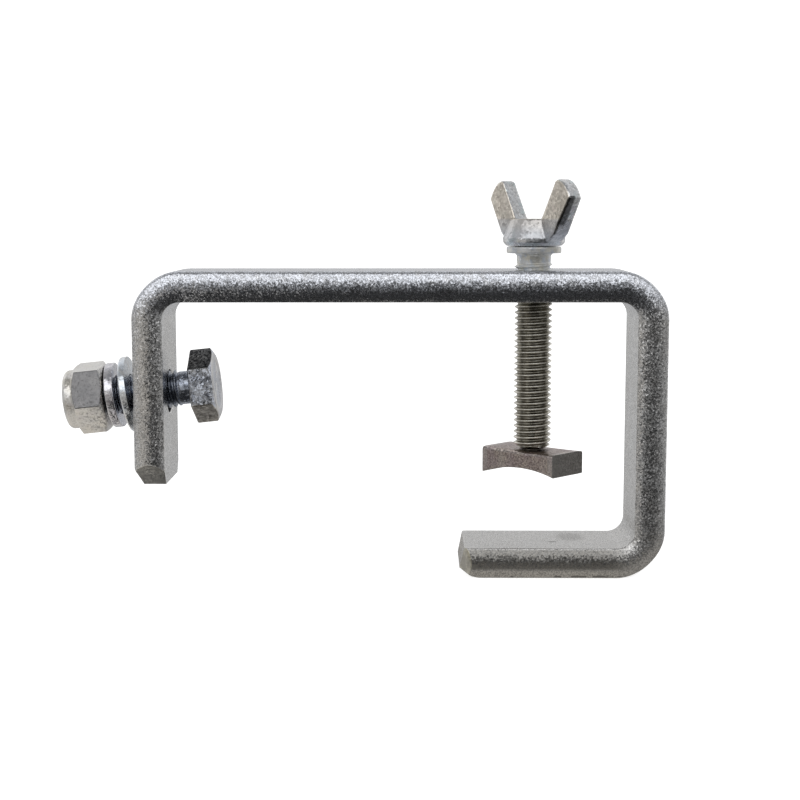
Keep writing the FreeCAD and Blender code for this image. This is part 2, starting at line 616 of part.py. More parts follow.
def make_lock_nut():
    """Lock nut with its nylon ring's collar, heights from the far end of the collar."""
    body = new_body("lock_nut")
    hexagon(body, "nut_hexagon", "nut_height")
    collar_height = "(nut_height - nut_hex_height)"
    collar = "(nut_collar_diameter / 2)"
    flat = "(hex_across_flats / 2)"
    outside = "(hex_across_flats / sqrt(3) + cut_margin)"
    # how far the middle of the rolled edge's quarter circle is from the corner it rounds
    rolled = "(nut_collar_round * (1 - sqrt(0.5)))"
    revolve(body, "nut_collar_cut", [
        (f"{collar} - nut_collar_round", "0"),
        (f"{collar} - {rolled}", rolled),
        (collar, "nut_collar_round"),
        (collar, collar_height),
        (flat, collar_height),
        (outside, f"{collar_height} + ({outside} - {flat}) * tan(hex_chamfer_angle * 1 deg)"),
        (outside, "-cut_margin"),
        (f"{collar} - nut_collar_round", "-cut_margin")], cut=True)
    hexagon_chamfer(body, "nut_chamfer", "nut_height")
    seat_radius = "insert_outer_diameter / 2 + insert_play"
    seat_end = "insert_lip + insert_height + 2 * insert_play"
    revolve(body, "nut_bore", [
        ("0", "-cut_margin"),
        ("lip_bore_diameter / 2", "-cut_margin"),
        ("lip_bore_diameter / 2", "insert_lip"),
        (seat_radius, "insert_lip"),
        (seat_radius, seat_end),
        ("nut_bore_diameter / 2", seat_end),
        ("nut_bore_diameter / 2", "nut_height - bore_chamfer"),
        ("nut_bore_diameter / 2 + bore_chamfer", "nut_height"),
        ("nut_bore_diameter / 2 + bore_chamfer", "nut_height + cut_margin"),
        ("0", "nut_height + cut_margin")], cut=True)
    body.Placement = on_bolt("nut_reach + nut_height", "nut_turn")
    return body


def make_lock_nut_insert():
    body = make_washer("lock_nut_insert", "insert_outer_diameter", "nut_bore_diameter",
                       "insert_height")
    body.Placement = on_bolt("nut_reach + nut_height - insert_lip - insert_play", "nut_turn")
    return body


def make_flat_washer():
    """Plain washer leaning with its foot on the outside of the fixing leg."""
    body = make_washer("flat_washer", "flat_washer_diameter", "flat_washer_bore",
                       "flat_washer_thickness")
    lean = math.radians(size("flat_washer_lean"))
    foot = V(size("throat + bar_thickness - hook_length - play"), 0, size("flat_washer_foot"))
    radius = size("flat_washer_diameter / 2")
    inner_face = foot + V(-math.sin(lean), 0, math.cos(lean)) * radius
    outwards = V(math.cos(lean), 0, math.sin(lean)) * size("flat_washer_thickness")
    body.Placement = turned_then_tilted(0, size("flat_washer_lean"), inner_face - outwards)
    return body


def make_spring_washer():
    """Split ring that climbs as it goes round, heights from its lower end."""
    body = new_body("spring_washer")
    section = new_sketch(body, "spring_washer_section")
    draw_polygon(section, [
        ("spring_washer_bore / 2", "0"),
        ("spring_washer_diameter / 2", "0"),
        ("spring_washer_diameter / 2", "spring_washer_thickness"),
        ("spring_washer_bore / 2", "spring_washer_thickness")])
    ring = body.newObject("PartDesign::AdditiveHelix", "spring_washer_ring")
    ring.Profile = section
    ring.ReferenceAxis = (section, ["V_Axis"])
    ring.Mode = "height-turns-angle"
    ring.setExpression("Height", "Sizes.spring_washer_rise")
    ring.setExpression("Turns", "Sizes.spring_washer_sweep / 360")
    body.Placement = on_bolt("nut_reach - play", "spring_washer_turn")
    return body


MAKERS = [
    make_hook_frame, make_clamp_spindle, make_wing_nut, make_saddle, make_saddle_keeper,
    make_hex_bolt, make_flat_washer, make_spring_washer, make_lock_nut, make_lock_nut_insert,
]
bodies = [maker() for maker in MAKERS]
doc.recompute()

for item in doc.Objects:
    if "Invalid" in item.State or "Error" in item.State:
        raise RuntimeError(f"{item.Name} did not compute: {item.State}")
for body in bodies:
    if body.Shape.isNull() or not body.Shape.isValid() or len(body.Shape.Solids) != 1:
        raise RuntimeError(f"{body.Label} is not one valid solid")
    for cut in body.Group:
        if cut.TypeId not in ("PartDesign::Pocket", "PartDesign::Groove"):
            continue
        removed = cut.BaseFeature.Shape.Volume - cut.Shape.Volume
        if removed <= 0:
            raise RuntimeError(f"{body.Label}: {cut.Name} removed nothing")
        print(body.Label, cut.Name, "removed", round(removed, 1), "mm3")

os.makedirs("parts", exist_ok=True)
for body in bodies:
    body.Shape.exportStep(os.path.join("parts", body.Label + ".step"))
    print(body.Label, round(body.Shape.Volume, 1), "mm3")
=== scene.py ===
import json
import math

import bmesh
import bpy
from mathutils import Matrix, Vector


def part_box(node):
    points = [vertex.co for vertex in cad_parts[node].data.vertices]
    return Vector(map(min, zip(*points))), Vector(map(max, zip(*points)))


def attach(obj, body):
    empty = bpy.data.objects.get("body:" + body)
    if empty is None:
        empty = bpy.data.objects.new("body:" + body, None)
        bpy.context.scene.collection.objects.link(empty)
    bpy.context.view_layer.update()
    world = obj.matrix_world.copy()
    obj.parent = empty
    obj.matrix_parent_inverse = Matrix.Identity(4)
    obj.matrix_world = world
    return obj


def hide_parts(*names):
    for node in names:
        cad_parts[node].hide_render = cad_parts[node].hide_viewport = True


# Looks of the hook clamp: every visible piece is rebuilt on its CAD node's place with rounded
# edges, real thread flanks and procedural zinc and steel. Shapes are worked out in
# millimetres, in the piece's own frame, and written in metres.

MM = 0.001
STEPS = 72              # points round a turned shape
SHARP = math.radians(32)  # edges over this angle are bevelled, or stay sharp

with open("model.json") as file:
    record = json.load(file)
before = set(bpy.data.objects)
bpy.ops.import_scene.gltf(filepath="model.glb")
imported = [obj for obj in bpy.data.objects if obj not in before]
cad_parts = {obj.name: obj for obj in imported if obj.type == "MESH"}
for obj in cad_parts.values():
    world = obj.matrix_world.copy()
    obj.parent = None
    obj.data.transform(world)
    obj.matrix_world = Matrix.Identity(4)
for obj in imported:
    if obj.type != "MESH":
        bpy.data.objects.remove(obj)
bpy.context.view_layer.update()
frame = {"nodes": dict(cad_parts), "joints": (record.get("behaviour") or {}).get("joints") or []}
joints = {joint["name"]: joint for joint in frame["joints"]}


# ---------------------------------------------------------------- places from the frame

def node_span(node, origin, axis):
    """Lowest and highest reach of a CAD node along an axis through origin, in mm."""
    reaches = [(vertex.co - origin).dot(axis) for vertex in frame["nodes"][node].data.vertices]
    return min(reaches) / MM, max(reaches) / MM


def on_screw(height, turn=0.0):
    """Place on the clamp screw's axis, height in mm over the jaw's face."""
    foot = Vector(joints["wing_turn"]["pos_m"])
    foot.z = height * MM
    return Matrix.Translation(foot) @ Matrix.Rotation(math.radians(turn), 4, "Z")


def leaning(origin, axis, turn=0.0):
    """Place whose Z is the given axis in the XZ plane, turned about it."""
    lean = math.atan2(axis.x, axis.z)
    return (Matrix.Translation(origin) @ Matrix.Rotation(lean, 4, "Y")
            @ Matrix.Rotation(math.radians(turn), 4, "Z"))


bolt_axis = Vector(joints["nut_turn"]["axis"]).normalized()
bolt_origin = Vector(joints["nut_turn"]["pos_m"])


def on_bolt(reach, turn=0.0):
    """Place on the fixing bolt's axis, reach in mm from its joint towards the head."""
    return leaning(bolt_origin + bolt_axis * reach * MM, bolt_axis, turn)


# ---------------------------------------------------------------- mesh building

def skin(rings, looped=False, capped=True):
    """Surface through rings of points; looped joins the last ring to the first."""
    count = len(rings[0])
    points = [point for ring in rings for point in ring]
    faces = []
    for row in range(len(rings) if looped else len(rings) - 1):
        below = row * count
        above = (row + 1) % len(rings) * count
        for column in range(count):
            beside = (column + 1) % count
            faces.append((below + column, below + beside, above + beside, above + column))
    if capped and not looped:
        faces.append(tuple(reversed(range(count))))
        faces.append(tuple(range(len(points) - count, len(points))))
    return points, faces


def build(name, surfaces, place=None):
    """Object from surfaces in mm, welded where they meet."""
    mesh = bpy.data.meshes.new(name)
    bm = bmesh.new()
    for points, faces in surfaces:
        verts = [bm.verts.new(Vector(point) * MM) for point in points]
        for face in faces:
            bm.faces.new([verts[index] for index in face])
    bmesh.ops.remove_doubles(bm, verts=bm.verts, dist=0.001 * MM)
    bmesh.ops.recalc_face_normals(bm, faces=bm.faces)
    bm.to_mesh(mesh)
    bm.free()
    piece = bpy.data.objects.new(name, mesh)
    bpy.context.scene.collection.objects.link(piece)
    if place is not None:
        piece.matrix_world = place
    return piece


def apply_modifiers(piece):
    """Turns the piece's modifiers into its mesh."""
    bpy.context.view_layer.update()
    depsgraph = bpy.context.evaluated_depsgraph_get()
    mesh = bpy.data.meshes.new_from_object(piece.evaluated_get(depsgraph), depsgraph=depsgraph)
    piece.modifiers.clear()
    piece.data = mesh


def cut(piece, cutters):
    """Takes the cutters' solids off the piece."""
    for cutter in cutters:
        modifier = piece.modifiers.new("cut", "BOOLEAN")
        modifier.operation = "DIFFERENCE"
        modifier.solver = "EXACT"
        modifier.object = cutter
    apply_modifiers(piece)
    for cutter in cutters:
        bpy.data.objects.remove(cutter)


def bevel(piece, width, segments=3, angle=SHARP):
    modifier = piece.modifiers.new("bevel", "BEVEL")
    modifier.width = width * MM
    modifier.segments = segments
    modifier.limit_method = "ANGLE"
    modifier.angle_limit = angle
    modifier.miter_outer = "MITER_ARC"
    apply_modifiers(piece)


def smooth(piece):
    """Smooth shading that keeps the flats flat."""
    piece.data.shade_smooth()
    piece.data.set_sharp_from_angle(angle=math.radians(40))
    modifier = piece.modifiers.new("flat_flats", "WEIGHTED_NORMAL")
    modifier.keep_sharp = True


def arc(centre, radius, start, end, steps):
    """Points on an arc, angles in degrees."""
    return [(centre[0] + radius * math.cos(math.radians(start + (end - start) * step / steps)),
             centre[1] + radius * math.sin(math.radians(start + (end - start) * step / steps)))
            for step in range(steps + 1)]


def rounded(corners, looped=False, steps=4):
    """Outline through corners (across, up, rounding), with an arc at each rounded one."""
    outline = []
    count = len(corners)
    for index, (across, up, radius) in enumerate(corners):
        corner = Vector((across, up))
        if radius == 0 or (not looped and index in (0, count - 1)):
            outline.append(tuple(corner))
            continue
        before = (Vector(corners[index - 1][:2]) - corner)
        after = (Vector(corners[(index + 1) % count][:2]) - corner)
        half_angle = before.angle(after) / 2
        reach = min(radius / math.tan(half_angle), before.length / 2, after.length / 2)
        start = corner + before.normalized() * reach
        end = corner + after.normalized() * reach
        for step in range(steps + 1):
            part = step / steps
            # a quadratic curve is close to the arc for these small roundings
            point = (start * (1 - part) ** 2 + corner * 2 * part * (1 - part)
                     + end * part ** 2)
            outline.append(tuple(point))
    return outline


def turn(outline, steps=STEPS):
    """Rings of a turned shape from points (radius, height)."""
    rings = []
    for radius, height in outline:
        rings.append([(radius * math.cos(2 * math.pi * step / steps),
                       radius * math.sin(2 * math.pi * step / steps), height)
                      for step in range(steps)])
    return rings


PITCH = 1.5
CORE_RADIUS = 4.1
CREST_RADIUS = 4.95
# ridge height over one pitch, from root to root, with a rounded root and crest
RIDGE = [(0.0, 0.0), (0.09, 0.02), (0.15, 0.1), (0.22, 0.32), (0.31, 0.62), (0.39, 0.89),
         (0.44, 0.98), (0.5, 1.0), (0.56, 0.98), (0.61, 0.89), (0.69, 0.62), (0.78, 0.32),
         (0.85, 0.1), (0.91, 0.02)]


def ridge_height(phase):
    """Height of the ridge, 0 to 1, at a part of the pitch."""
    phase %= 1.0
    points = RIDGE + [(1.0, 0.0)]
    for (start, low), (end, high) in zip(points, points[1:]):
        if phase <= end:
            return low + (high - low) * (phase - start) / (end - start)
    return 0.0


def thread(bottom, top, radius_at, steps=STEPS):
    """Open threaded surface whose rows follow the right-handed helix. radius_at gives the
    radius from the height and the ridge's height there."""
    rows = len(RIDGE)
    turns = math.ceil((top - bottom) / PITCH)
    points = []
    last_row = (turns + 1) * rows
    for row in range(last_row + 1):
        phase = RIDGE[row % rows][0] + row // rows - 1
        for column in range(steps):
            share = column / steps
            height = min(max(bottom + PITCH * (phase + share), bottom), top)
            ridge = ridge_height((height - bottom) / PITCH - share)
            radius = radius_at(height, ridge)
            points.append((radius * math.cos(2 * math.pi * share),
                           radius * math.sin(2 * math.pi * share), height))
    faces = []
    for row in range(last_row):
        for column in range(steps):
            beside = column + 1
            here, above = row, row + 1
            if beside == steps:
                beside = 0
                here = min(row + rows, last_row)
                above = min(row + rows + 1, last_row)
            face = dict.fromkeys((row * steps + column, here * steps + beside,
                                  above * steps + beside, (row + 1) * steps + column))
            faces.append(tuple(face))
    return points, faces


def ease(value, start, end):
    """0 before start, 1 after end, smooth between."""
    part = min(max((value - start) / (end - start), 0.0), 1.0)
    return part * part * (3 - 2 * part)


# ---------------------------------------------------------------- the bent flat bar

bar_low, bar_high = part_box("hook_frame")
BAR_WIDTH = (bar_high.y - bar_low.y) / MM
BAR_THICKNESS = 8.0
EDGE_RADIUS = 7.3
OUTER_CORNER = 1.5
INNER_CORNER = 0.45
BEND_RADIUS = 4.5
JAW_LENGTH = 53.5
FIXING_LEG_HEIGHT = 55.5
FIXING_HOLE_HEIGHT = 40.0
BEND_THINNING = 0.08    # share of the half thickness lost on the outside of a bend


def bar_section():
    """Half of the bar's section, mirrored: across the bar, and outwards from its middle."""
    half = BAR_THICKNESS / 2
    edge_centre = BAR_WIDTH / 2 - EDGE_RADIUS
    fillet_up = -half + INNER_CORNER
    fillet_across = edge_centre + math.sqrt((EDGE_RADIUS - INNER_CORNER) ** 2 - fillet_up ** 2)
    fillet_end = math.degrees(math.atan2(fillet_up, fillet_across - edge_centre))
    corner_up = half - OUTER_CORNER
    corner_across = edge_centre + math.sqrt((EDGE_RADIUS - OUTER_CORNER) ** 2 - corner_up ** 2)
    join = math.degrees(math.atan2(corner_up, corner_across - edge_centre))
    right = [(fillet_across * part, -half) for part in (0.0, 0.25, 0.5, 0.75)]
    right += arc((fillet_across, fillet_up), INNER_CORNER, -90, fillet_end, 6)
    right += arc((edge_centre, 0), EDGE_RADIUS, fillet_end, join, 12)[1:]
    right += arc((corner_across, corner_up), OUTER_CORNER, join, 90, 12)[1:]
    right += [(corner_across * part, half) for part in (0.75, 0.5, 0.25, 0.0)]
    left = [(-across, outwards) for across, outwards in reversed(right[1:-1])]
    return right + left


def bar_route():
    """Middle line of the bar in the XZ plane, from the jaw's tip to the fixing leg's end:
    (x, z, heading in degrees)."""
    half = BAR_THICKNESS / 2
    middle = BEND_RADIUS + half
    right = bar_high.x / MM - half
    left = bar_low.x / MM + half
    top = bar_high.z / MM - half
    bottom = bar_low.z / MM + half
    tip = right + half - JAW_LENGTH
    leg_end = bar_high.z / MM - FIXING_LEG_HEIGHT
    route = []

    def run(start, end, heading):
        length = math.dist(start, end)
        pieces = max(2, round(length / 5))
        for index in range(pieces + 1):
            part = index / pieces
            route.append((start[0] + (end[0] - start[0]) * part,
                          start[1] + (end[1] - start[1]) * part, heading))

    def bend(centre, heading):
        for step in range(1, 16):
            angle = heading - 90 + 90 * step / 16
            route.append((centre[0] + middle * math.cos(math.radians(angle)),
                          centre[1] + middle * math.sin(math.radians(angle)), angle + 90))

    run((tip, bottom), (right - middle, bottom), 0)
    bend((right - middle, bottom + middle), 0)
    run((right, bottom + middle), (right, top - middle), 90)
    bend((right - middle, top - middle), 90)
    run((right - middle, top), (left + middle, top), 180)
    bend((left + middle, top - middle), 180)
    run((left, top - middle), (left, leg_end), 270)
    return route


def prism(name, outline, along, start, end):
    """Solid with its outline given in the two other axes, reaching from start to end."""
    def point(first, second, reach):
        return {"X": (reach, first, second), "Y": (first, reach, second),
                "Z": (first, second, reach)}[along]
    return build(name, [skin([[point(*corner, reach) for corner in outline]
                              for reach in (start, end)])])


def drill(radius, flare, start, end):
    """Cutter for a hole from start to end along Z, its mouths flared by a broken edge."""
    return skin(turn([(radius + flare + 1, start - 1), (radius, start + flare),
                      (radius, end - flare), (radius + flare + 1, end + 1)], 64))


def make_bar():
    section = bar_section()
    rings = []
    for x, z, heading in bar_route():
        # outwards is to the right of the heading
        out_x = math.sin(math.radians(heading))
        out_z = -math.cos(math.radians(heading))
        # the outside of each bend is stretched thinner
        thinned = 1 - BEND_THINNING * math.sin(math.radians(2 * heading)) ** 2
        ring = []
        for across, outwards in section:
            reach = outwards * (thinned if outwards > 0 else 1)
            ring.append((x + out_x * reach, across, z + out_z * reach))
        rings.append(ring)
    bar = build("hook_bar", [skin(rings)])

    left, low, top = bar_low.x / MM, bar_low.z / MM, bar_high.z / MM
    tip = bar_high.x / MM - JAW_LENGTH
    leg_end = top - FIXING_LEG_HEIGHT
    half = BAR_WIDTH / 2
    cutters = [
        prism("leg_bevel", [(left - 1, leg_end + 4.6), (left, leg_end + 4.6),
                            (left + 1.25, leg_end + 2.1), (left + 2.2, leg_end),
                            (left + 2.2, leg_end - 1), (left - 1, leg_end - 1)],
              "Y", -half - 1, half + 1),
        prism("jaw_bevel", [(tip + 5.6, low - 1), (tip + 5.6, low), (tip + 3.3, low + 0.6),
                            (tip + 0.1, low + 2.5), (tip + 1.3, 0), (tip + 1.6, 1),
                            (tip - 1, 1), (tip - 1, low - 1)],
              "Y", -half - 1, half + 1)]
    for side in (-1, 1):
        cutters.append(prism("leg_corner", [
            (side * (half - 3.4), leg_end), (side * half, leg_end + 5.4),
            (side * (half + 1), leg_end + 5.4), (side * (half + 1), leg_end - 1),
            (side * (half - 3.4), leg_end - 1)], "X", left - 1, left + BAR_THICKNESS + 1))
        cutters.append(prism("jaw_corner", [
            (tip, side * (half - 3.1)), (tip + 3.1, side * half),
            (tip + 3.1, side * (half + 1)), (tip - 1, side * (half + 1)),
            (tip - 1, side * (half - 3.1))], "Z", low - 1, low + BAR_THICKNESS + 1))
    cutters.append(build("screw_hole", [drill(5.1, 0.3, top - BAR_THICKNESS, top)]))
    # the hole's own Z points along X, at its height over the jaw's face
    lying = Matrix(((0, 0, 1, 0), (0, 1, 0, 0), (-1, 0, 0, FIXING_HOLE_HEIGHT * MM),
                    (0, 0, 0, 1)))
    cutters.append(build("fixing_hole", [drill(5.75, 0.25, left, left + BAR_THICKNESS)], lying))
    cut(bar, cutters)
    bevel(bar, 0.3)
    return bar


# ---------------------------------------------------------------- the clamp screw

def make_spindle():
    """Heights from the screw's shoulder on the saddle."""
    pin_end = node_span("clamp_spindle", Vector(), Vector((0, 0, 1)))[0]
    shoulder = pin_end + 4.2
    thread_top = 49.3

    def radius_at(height, ridge):
        # the thread runs out into the neck over its last turn, and the tip is turned to a cone
        run_out = 1 - ease(height, thread_top - 1.3, thread_top)
        neck = CORE_RADIUS + (4.4 - CORE_RADIUS) * ease(height, thread_top - 2.2, thread_top)
        radius = neck + (CREST_RADIUS - CORE_RADIUS) * ridge * run_out * ease(height, 0, 0.6)
        return min(radius, 3.0 + height * 1.9)

    below = rounded([(0.3, -4.2, 0), (2.8, -4.2, 0), (3.3, -3.8, 0.2), (3.3, -3.4, 0.1),
                     (2.5, -3.4, 0), (2.5, 0, 0), (3.0, 0, 0)])
    above = rounded([(4.4, thread_top, 0), (4.47, thread_top + 0.35, 0.2),
                     (4.47, 50.9, 0.5), (5.0, 51.5, 0.4), (7.15, 51.5, 0.4),
                     (7.15, 53.2, 0.35), (3.8, 53.2, 0.1), (3.8, 59.9, 0.35),
                     (2.9, 60.0, 0.1), (2.6, 59.7, 0.1), (0.3, 59.7, 0)])
    surfaces = [skin(turn(below), capped=False), thread(0, thread_top, radius_at),
                skin(turn(above), capped=False)]
    for outline in (below, above):
        radius, height = min(outline)
        ring = turn([(radius, height)])[0]
        surfaces.append((ring, [tuple(range(STEPS))]))
    return build("clamp_screw_body", surfaces, on_screw(shoulder))


WING_TURN = -56         # degrees round the screw


def make_wing_nut():
    """Forged wing nut, heights from the underside of its hub."""
    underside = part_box("wing_nut")[0].z / MM
    hub = rounded([(3.85, 0.2, 0), (4.3, -0.15, 0), (7.2, -0.15, 0.3), (8.1, 0.8, 0.5),
                   (8.15, 1.9, 0.5), (6.1, 6.9, 0.6), (4.45, 6.9, 0.3), (3.85, 6.3, 0.2)],
                  looped=True)
    surfaces = [skin(turn(hub), looped=True)]
    tip = [(10.5, 15.8), (10.9, 16.6), (11.9, 16.9), (13.3, 16.4), (14.6, 15.4),
           (15.8, 13.9), (16.7, 12.1)]
    outline = [(5.2, 6.4)] + tip + [(11.0, 2.9), (9.0, 1.2), (4.6, 1.0), (4.6, 6.4)]
    centre_x = sum(x for x, z in outline) / len(outline)
    centre_z = sum(z for x, z in outline) / len(outline)
    for side in (-1, 1):
        rings = []
        # a rounded slab: thinner loops towards both broad faces
        for inset, level in ((0.55, -1.0), (0.16, -0.9), (0.0, -0.72), (0.0, 0.72),
                             (0.16, 0.9), (0.55, 1.0)):
            shrink = 1 - inset / 7
            ring = []
            for x, z in outline:
                # the wings are a little thicker where they grow out of the hub
                half_thickness = 2.1 + 0.5 * (1 - ease(z, 1.5, 8.5))
                ring.append((side * (centre_x + (x - centre_x) * shrink),
                             side * level * half_thickness,
                             centre_z + (z - centre_z) * shrink))
            rings.append(ring)
        surfaces.append(skin(rings))
    nut = build("forged_wing_nut", surfaces)
    nut.data.transform(Matrix.Scale(1 / MM, 4))
    remesh = nut.modifiers.new("one_skin", "REMESH")
    remesh.mode = "VOXEL"
    remesh.voxel_size = 0.2
    relax = nut.modifiers.new("forged_fillets", "SMOOTH")
    relax.factor = 0.5
    relax.iterations = 4
    apply_modifiers(nut)
    nut.data.transform(Matrix.Scale(MM, 4))
    nut.matrix_world = on_screw(underside, WING_TURN)
    return nut


# ---------------------------------------------------------------- the saddle

SADDLE_TURN = -44


def make_saddle():
    """Pad with the pipe's groove, heights from its underside; long side along X."""
    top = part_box("saddle")[1].z / MM
    length, width, thickness, groove = 24.0, 12.5, 6.0, 42.0
    rings = []
    stations = 28
    for index in range(stations + 1):
        x = -length / 2 + length * index / stations
        seat = math.sqrt(groove ** 2 - x ** 2) - math.sqrt(groove ** 2 - (length / 2) ** 2)
        # forged a little thicker towards one end
        seat -= 0.9 * (0.5 - x / length) ** 1.5
        # the top sags between its ends, and its long edges droop from the press
        droop = 0.3 * (1 - (2 * x / length) ** 2)
        ring = rounded([(-width / 2, seat, 0.35), (width / 2, seat, 0.35),
                        (width / 2, thickness - droop - 0.15, 0.8),
                        (width / 2 - 1.6, thickness - droop * 0.35, 1.2),
                        (-width / 2 + 1.6, thickness - droop * 0.35, 1.2),
                        (-width / 2, thickness - droop - 0.15, 0.8)], looped=True)
        rings.append([(x, y, z) for y, z in ring])
    saddle = build("pipe_saddle", [skin(rings)])
    bore = build("saddle_bore", [skin(turn([(2.65, -1), (2.65, 8)], 48))])
    recess = build("saddle_recess", [skin(turn([(4.5, -1), (4.5, thickness - 2.25)], 48))])
    cut(saddle, [bore, recess])
    bevel(saddle, 0.35)
    saddle.matrix_world = on_screw(top - thickness, SADDLE_TURN)
    return saddle


# ---------------------------------------------------------------- the fixing bolt

ACROSS_FLATS = 17.0
FACE_RADIUS = 8.05


def hexagon(corner_round=0.45, flat_steps=6, corner_steps=4):
    """Points round a hexagon with its corners rounded and a flat towards +Y."""
    points = []
    corner = ACROSS_FLATS / math.sqrt(3)
    for side in range(6):
        towards = 60 * side
        reach = corner - corner_round / math.cos(math.radians(30))
        centre = (reach * math.cos(math.radians(towards)),
                  reach * math.sin(math.radians(towards)))
        points += arc(centre, corner_round, towards - 30, towards + 30, corner_steps)
        following = 60 * (side + 1)
        next_centre = (reach * math.cos(math.radians(following)),
                       reach * math.sin(math.radians(following)))
        start = Vector(points[-1])
        end = Vector(arc(next_centre, corner_round, following - 30, following - 30, 1)[0])
        for step in range(1, flat_steps):
            points.append(tuple(start.lerp(end, step / flat_steps)))
    return points


def hexagon_ring(face_height, slope, shrink=0.0):
    """Ring of the hexagon where the corners' cone, rising inwards, cuts its sides."""
    ring = []
    for x, y in hexagon():
        radius = math.hypot(x, y)
        over = radius - FACE_RADIUS
        scale = 1 - shrink / radius
        ring.append((x * scale, y * scale, face_height - slope * over))
    return ring


def circle_ring(radius, height):
    """Ring of a circle with the hexagon's angles."""
    return [(radius * x / math.hypot(x, y), radius * y / math.hypot(x, y), height)
            for x, y in hexagon()]


SLOPE = math.tan(math.radians(30))
BOLT_LENGTH = 30.0
HEAD_TURN = -3.8        # degrees round the bolt
NUT_TURN = -20.8
SPRING_TURN = 105
WASHER_LEAN = 9.8


def make_bolt():
    """Heights from the underside of the head."""
    low, high = node_span("hex_bolt", bolt_origin, bolt_axis)
    underside = low + BOLT_LENGTH
    head_height = high - underside
    head = [circle_ring(4.0, 0), circle_ring(7.6, 0), hexagon_ring(0.0, 0.0, 0.25),
            hexagon_ring(0.25, 0.0), hexagon_ring(head_height, SLOPE),
            circle_ring(FACE_RADIUS, head_height), circle_ring(6.6, head_height),
            circle_ring(6.2, head_height - 0.25), circle_ring(2.0, head_height - 0.3)]

    def radius_at(height, ridge):
        run_out = 1 - ease(height, -4.6, -2.9)
        plain = CORE_RADIUS + 0.3 * ease(height, -4.4, -2.9)
        radius = (plain + (CREST_RADIUS - CORE_RADIUS) * ridge * run_out
                  * ease(height, -30, -29.6))
        return min(radius, 3.6 + (height + 30) * 1.0)

    tip = rounded([(0.3, -30, 0), (3.6, -30, 0)])
    neck = rounded([(4.4, -2.9, 0), (4.4, -0.4, 0.3), (4.8, 0, 0), (4.8, 0.5, 0), (0.3, 0.5, 0)])
    surfaces = [skin(head), skin(turn(tip), capped=False), thread(-30, -2.9, radius_at),
                skin(turn(neck), capped=False)]
    for radius, height in ((0.3, -30), (0.3, 0.5)):
        surfaces.append((turn([(radius, height)])[0], [tuple(range(STEPS))]))
    bolt = build("fixing_bolt", surfaces, on_bolt(underside, HEAD_TURN))
    bevel(bolt, 0.14, 2, math.radians(26))
    return bolt


def make_nut():
    """Heights from the far end of the collar."""
    low, high = node_span("lock_nut", bolt_origin, bolt_axis)
    height = high - low
    collar_height = height - 8.0
    collar, lip = 7.8, 5.45
    bore, seat = 5.05, 6.62
    rings = [circle_ring(lip, 0.5), circle_ring(lip, 0.12), circle_ring(lip + 0.12, 0)]
    for radius, level in arc((collar - 1.3, 1.3), 1.3, 270, 360, 7):
        rings.append(circle_ring(radius, level))
    rings += [circle_ring(collar, collar_height - 0.3),
              circle_ring(collar + 0.15, collar_height - 0.05),
              circle_ring(8.3, collar_height)]
    back = []
    for x, y in hexagon():
        radius = math.hypot(x, y)
        back.append((x, y, collar_height + max(radius - 8.3, 0) * SLOPE))
    rings.append(back)
    rings += [hexagon_ring(height, SLOPE), circle_ring(FACE_RADIUS, height),
              circle_ring(bore + 0.7, height), circle_ring(bore, height - 0.6)]
    inner_low = 2.76
    rings += [circle_ring(bore, inner_low), circle_ring(seat, inner_low),
              circle_ring(seat, 0.5)]
    nut = build("locking_nut", [skin(rings, looped=True)], on_bolt(low, NUT_TURN))
    bevel(nut, 0.16, 2, math.radians(26))
    return nut


def make_flat_washer():
    """Stamped ring: one rim rounded by the die, the other with a small burr."""
    foot = Vector(joints["washer_lean"]["pos_m"])
    lean = math.radians(WASHER_LEAN)
    axis = Vector((math.cos(lean), 0, math.sin(lean)))
    across = Vector((-math.sin(lean), 0, math.cos(lean)))
    radius, thickness = 10, 1.8
    centre = foot + across * radius * MM - axis * thickness * MM
    ring = rounded([(5.3, 0, 0.3), (radius, 0, 0.55), (radius, thickness, 0.12),
                    (5.3, thickness, 0.12)], looped=True, steps=5)
    return build("plain_washer", [skin(turn(ring, 96), looped=True)], leaning(centre, axis))


def make_spring_washer():
    """Split ring of square wire that climbs as it goes round."""
    low = node_span("spring_washer", bolt_origin, bolt_axis)[0]
    section = rounded([(5.2, 0, 0.3), (8.6, 0, 0.35), (8.6, 2.3, 0.35), (5.2, 2.3, 0.3)],
                      looped=True, steps=4)
    rings = []
    stations, sweep, rise = 96, 350, 1.3
    for index in range(stations + 1):
        share = index / stations
        angle = math.radians(sweep * share)
        climb = rise * share
        rings.append([(radius * math.cos(angle), radius * math.sin(angle), height + climb)
                      for radius, height in section])
    washer = build("split_washer", [skin(rings)], on_bolt(low, SPRING_TURN))
    bevel(washer, 0.15, 2)
    return washer


# ---------------------------------------------------------------- materials

